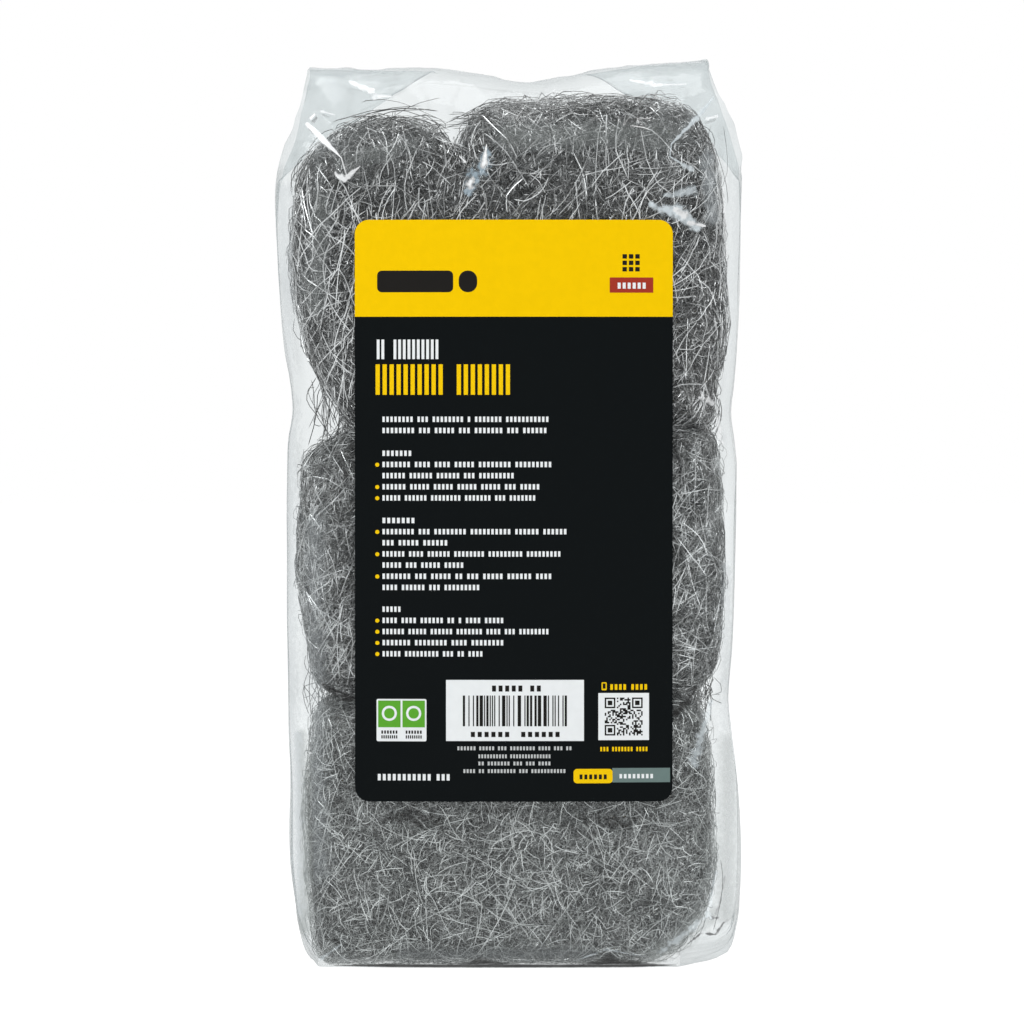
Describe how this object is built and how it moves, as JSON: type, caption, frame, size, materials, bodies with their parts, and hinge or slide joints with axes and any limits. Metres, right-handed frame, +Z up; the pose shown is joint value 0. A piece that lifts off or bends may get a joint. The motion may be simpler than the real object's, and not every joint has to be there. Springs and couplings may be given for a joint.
{
  "type": "pack of steel wool pads",
  "caption": "Upright clear film bag that holds soft steel wool pads in stacked rows, with a printed label on its front.",
  "frame": {"origin": "on the surface that the pack stands on, in the middle of the bag's base", "axes": "+Z up the pack towards its top seal, -Y out of the front that carries the label, +X to the right as the label is read"},
  "size_m": [0.116, 0.0725, 0.2275],
  "materials": {
    "clear_film": "gloss",
    "printed_label": "satin",
    "coarse_wool": "satin",
    "medium_wool": "satin",
    "fine_wool": "satin"
  },
  "bodies": {
    "root": {"film_bag": "clear_film", "label": "printed_label", "coarse_pad_front": "coarse_wool", "coarse_pad_middle": "coarse_wool", "coarse_pad_back": "coarse_wool", "medium_pad_front": "medium_wool", "medium_pad_middle": "medium_wool", "medium_pad_back": "medium_wool", "fine_pad_front": "fine_wool", "fine_pad_middle": "fine_wool", "fine_pad_back": "fine_wool"}
  },
  "joints": []
}
